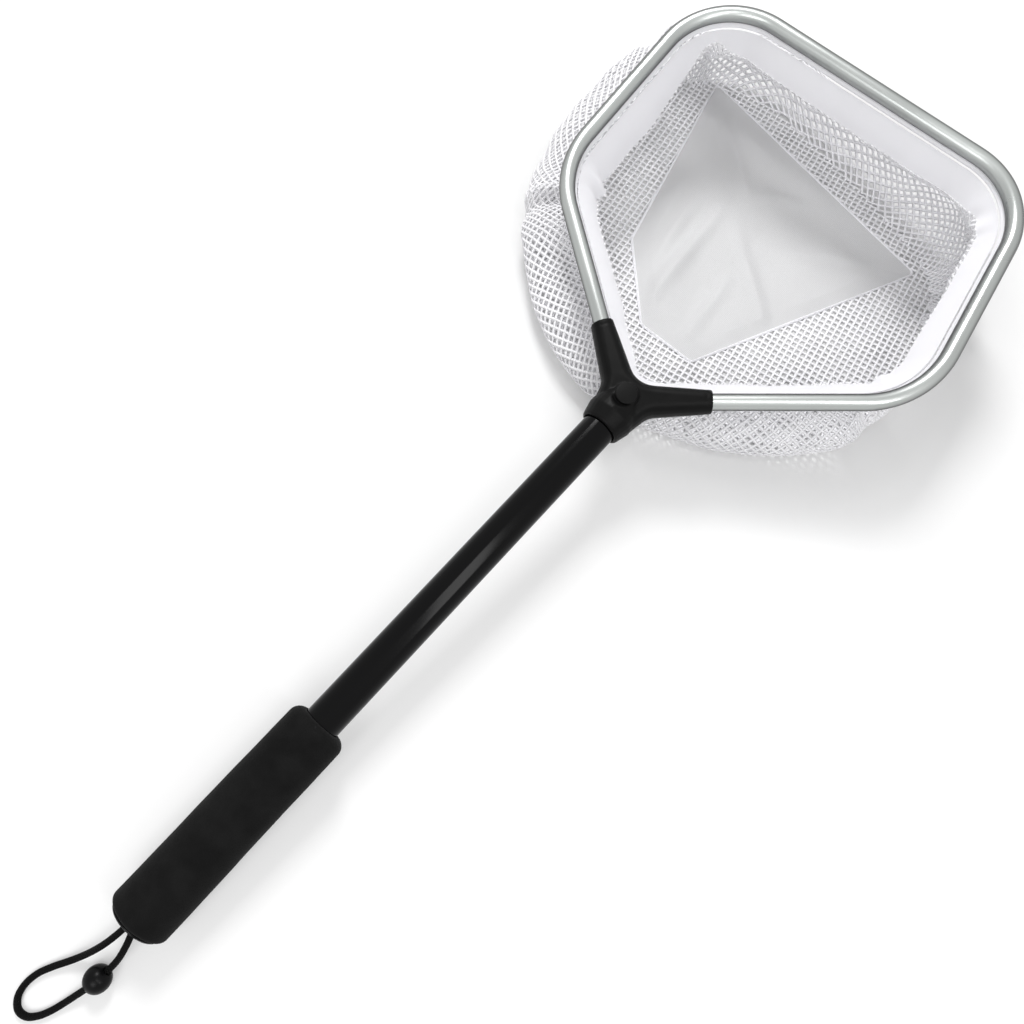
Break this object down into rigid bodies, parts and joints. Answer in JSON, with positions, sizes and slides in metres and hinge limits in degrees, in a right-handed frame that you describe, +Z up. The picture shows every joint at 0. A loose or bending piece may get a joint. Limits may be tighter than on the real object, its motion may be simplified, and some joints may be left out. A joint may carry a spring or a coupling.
{
  "type": "bait net",
  "caption": "Short-handled bait dip net: five-sided aluminium hoop in a moulded yoke, foam grip, wrist cord, white netting bag with a fine flat bottom.",
  "frame": {"origin": "on the table, on the underside of the bottom panel, 150 mm ahead of the yoke's crossing", "axes": "+Y from the grip to the hoop, +Z up, +X to the right of the handle"},
  "size_m": [0.285, 0.6953, 0.095],
  "materials": {
    "anodised_black": "satin",
    "foam": "matte foam",
    "gloss_black": "gloss",
    "cord_black": "braided",
    "moulding_black": "satin",
    "fastener_steel": "satin",
    "satin_aluminium": "satin",
    "white_fabric": "smooth woven",
    "white_netting": "open diamond netting",
    "fine_gauze": "fine gauze"
  },
  "bodies": {
    "root": {"handle_tube": "anodised_black", "foam_grip": "foam", "end_cap": "gloss_black", "cord_knot": "cord_black", "wrist_cord": "cord_black", "cord_bead": "gloss_black", "yoke": "moulding_black", "boss_cap": "moulding_black", "handle_screw": "fastener_steel", "hoop_rivet_left": "fastener_steel", "hoop_rivet_right": "fastener_steel", "hoop": "satin_aluminium", "welted_hem": "white_fabric", "net_band": "white_fabric", "net_wall": "white_netting", "net_floor": "white_netting", "bottom_panel": "fine_gauze"}
  },
  "joints": []
}
